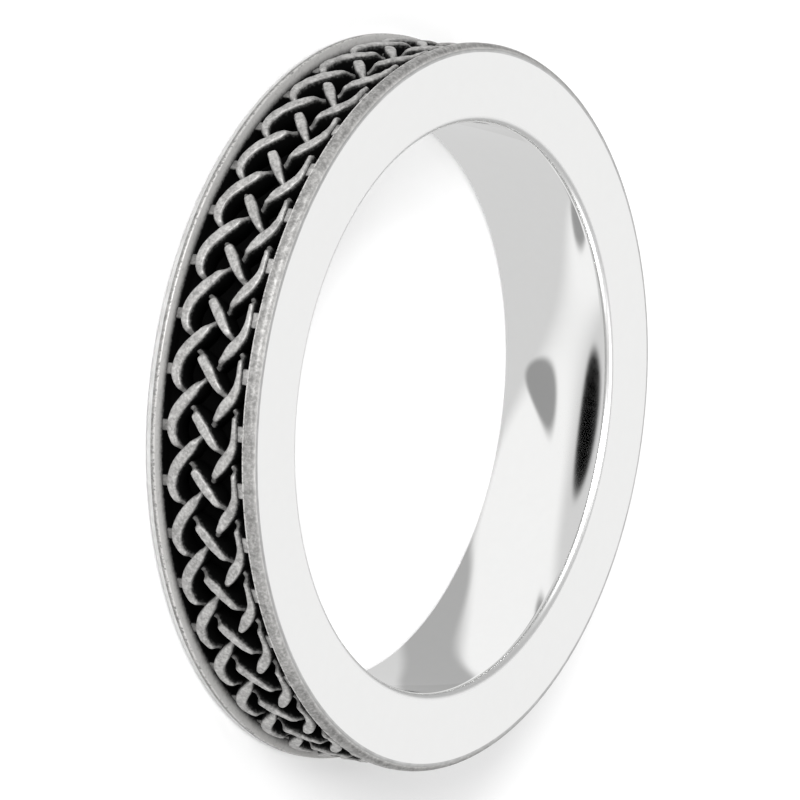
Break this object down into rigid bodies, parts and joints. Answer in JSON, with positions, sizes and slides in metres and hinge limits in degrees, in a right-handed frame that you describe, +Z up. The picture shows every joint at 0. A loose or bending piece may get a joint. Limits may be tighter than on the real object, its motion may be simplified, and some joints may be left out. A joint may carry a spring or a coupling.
{
  "type": "celtic wedding band",
  "caption": "Flat-sided silver finger ring with a polished bore, two rims and a blackened channel filled by a raised alternating plait.",
  "frame": {"origin": "centre of the side face that the ring lies on", "axes": "+Z up along the ring's own axis, from the face it lies on to the other side face"},
  "size_m": [0.022, 0.022, 0.0039],
  "materials": {
    "band": "sterling silver: mirror polished bore and side faces, matte rims and plait, channel floor oxidised black"
  },
  "bodies": {
    "root": {"band": "band"}
  },
  "joints": []
}
